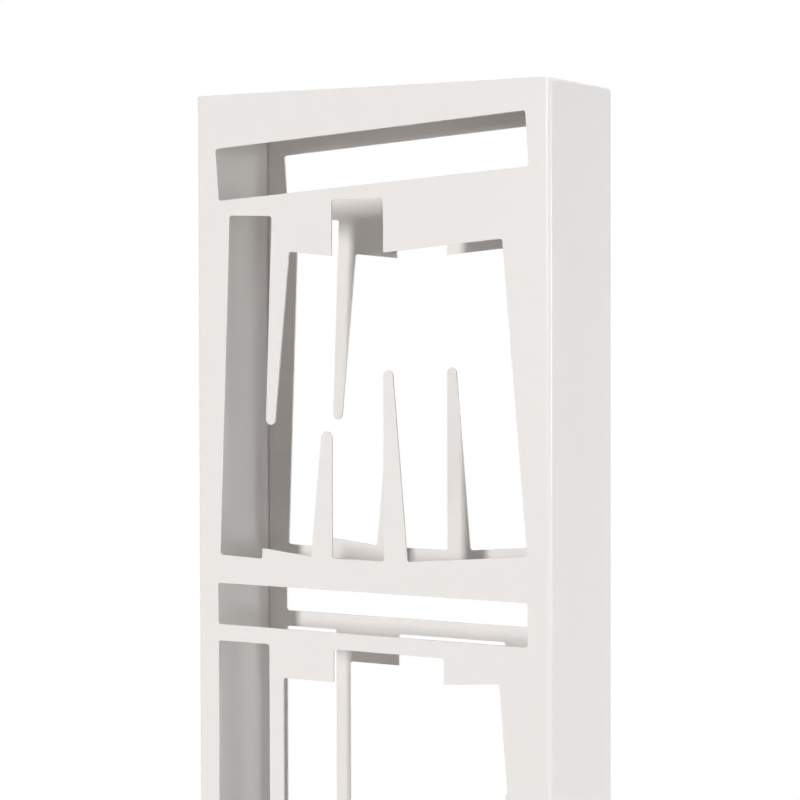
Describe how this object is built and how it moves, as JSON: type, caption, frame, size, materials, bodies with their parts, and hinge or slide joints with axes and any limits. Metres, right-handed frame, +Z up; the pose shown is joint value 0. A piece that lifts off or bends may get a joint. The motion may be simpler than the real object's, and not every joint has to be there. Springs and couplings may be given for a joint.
{
  "type": "bookcase",
  "caption": "Slim upright bookcase of folded white sheet steel with lying, standing and leaning cut-out openings through its front and back, on a steel foot plate.",
  "frame": {"origin": "on the floor under the middle of the base plate and of the case", "axes": "+Z up, +X along the case's width, -Y out of its front; the base plate's width lies along X"},
  "size_m": [0.34, 0.26, 1.8],
  "materials": {
    "white_powder_coat": "satin white powder coat, very fine orange peel",
    "zinc_steel": "zinc-plated steel",
    "foot_plastic": "black moulded plastic"
  },
  "bodies": {
    "case": {"back_cover": "white_powder_coat", "base_plate": "white_powder_coat", "base_tray": "white_powder_coat", "bracket_left_1": "white_powder_coat", "bracket_left_2": "white_powder_coat", "bracket_left_3": "white_powder_coat", "bracket_right_1": "white_powder_coat", "bracket_right_2": "white_powder_coat", "bracket_right_3": "white_powder_coat", "casing": "white_powder_coat", "cover_screws_left": "zinc_steel", "cover_screws_right": "zinc_steel", "plate_bolts": "zinc_steel"},
    "foot_front_left": {"foot_stud_front_left": "zinc_steel", "foot_pad_front_left": "foot_plastic"},
    "foot_front_right": {"foot_stud_front_right": "zinc_steel", "foot_pad_front_right": "foot_plastic"},
    "foot_rear_left": {"foot_stud_rear_left": "zinc_steel", "foot_pad_rear_left": "foot_plastic"},
    "foot_rear_right": {"foot_stud_rear_right": "zinc_steel", "foot_pad_rear_right": "foot_plastic"}
  },
  "joints": [
    {"name": "level_front_left", "type": "slide", "parent": "case", "child": "foot_front_left", "axis": [0, 0, -1], "range_m": [0, 0.005]},
    {"name": "level_front_right", "type": "slide", "parent": "case", "child": "foot_front_right", "axis": [0, 0, -1], "range_m": [0, 0.005]},
    {"name": "level_rear_left", "type": "slide", "parent": "case", "child": "foot_rear_left", "axis": [0, 0, -1], "range_m": [0, 0.005]},
    {"name": "level_rear_right", "type": "slide", "parent": "case", "child": "foot_rear_right", "axis": [0, 0, -1], "range_m": [0, 0.005]}
  ]
}
